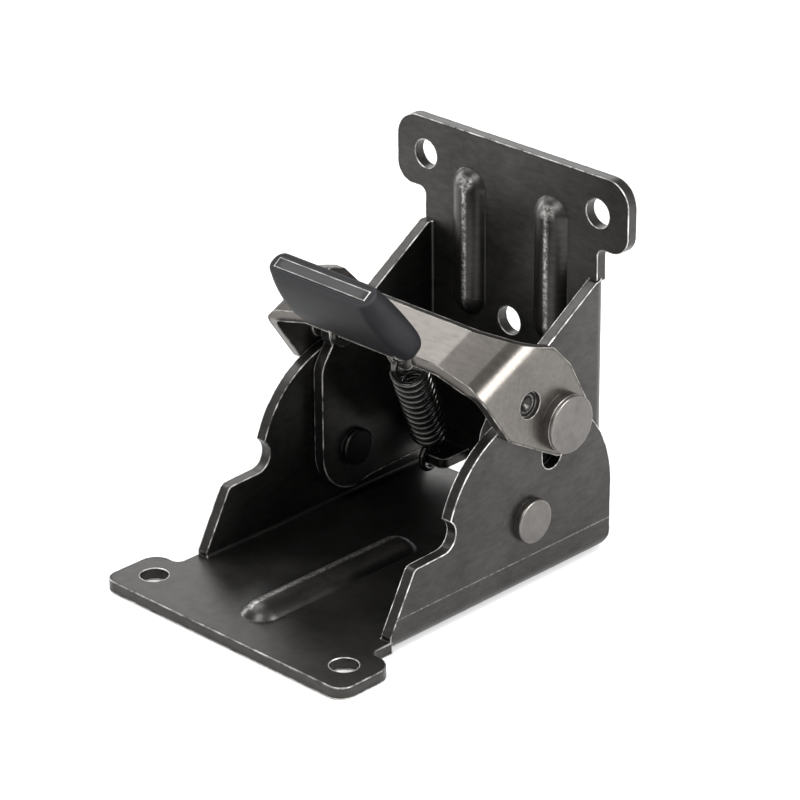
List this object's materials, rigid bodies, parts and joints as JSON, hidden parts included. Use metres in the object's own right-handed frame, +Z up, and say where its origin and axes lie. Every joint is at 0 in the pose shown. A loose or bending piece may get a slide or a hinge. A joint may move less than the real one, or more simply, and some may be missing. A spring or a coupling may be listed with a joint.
{
  "type": "folding table leg bracket",
  "caption": "Folding leg bracket: two hinged sheet-steel channel leaves with screw lugs and stiffening beads, and a sprung cross-over latch lever with a rubber finger grip.",
  "frame": {"origin": "middle of the footprint at the underside of the base plate", "axes": "+X along the hinge to the right seen from the front, +Y from the lugs of the base towards the mounting face of the upper leaf, +Z up"},
  "size_m": [0.0624, 0.0788, 0.0742],
  "materials": {
    "leaf_steel": "dark gunmetal with worn edges",
    "lever_steel": "warm grey satin steel",
    "rivet_steel": "warm grey satin steel",
    "grip_rubber": "matt dark grey rubber",
    "spring_steel": "black spring wire"
  },
  "bodies": {
    "base": {"base_leaf": "leaf_steel", "hinge_rivet_left": "rivet_steel", "hinge_rivet_right": "rivet_steel"},
    "upper": {"upper_leaf": "leaf_steel", "latch_rivet_left": "leaf_steel", "latch_rivet_right": "leaf_steel"},
    "latch": {"latch_lever": "lever_steel", "lock_stud_left": "rivet_steel", "lock_stud_right": "rivet_steel", "lever_grip": "grip_rubber", "lock_spring": "spring_steel"}
  },
  "joints": [
    {"name": "fold", "type": "hinge", "parent": "base", "child": "upper", "pos_m": [0, 0.0158, 0.0137], "axis": [1, 0, 0], "range_deg": [0, 75]},
    {"name": "latch_swing", "type": "hinge", "parent": "upper", "child": "latch", "pos_m": [0, 0.0128, 0.0386], "axis": [1, 0, 0], "range_deg": [-37.5, 0], "deforming": ["lock_spring"]}
  ],
  "couplings": [
    {"joint": "latch_swing", "follows": "fold", "ratio": -0.5}
  ]
}
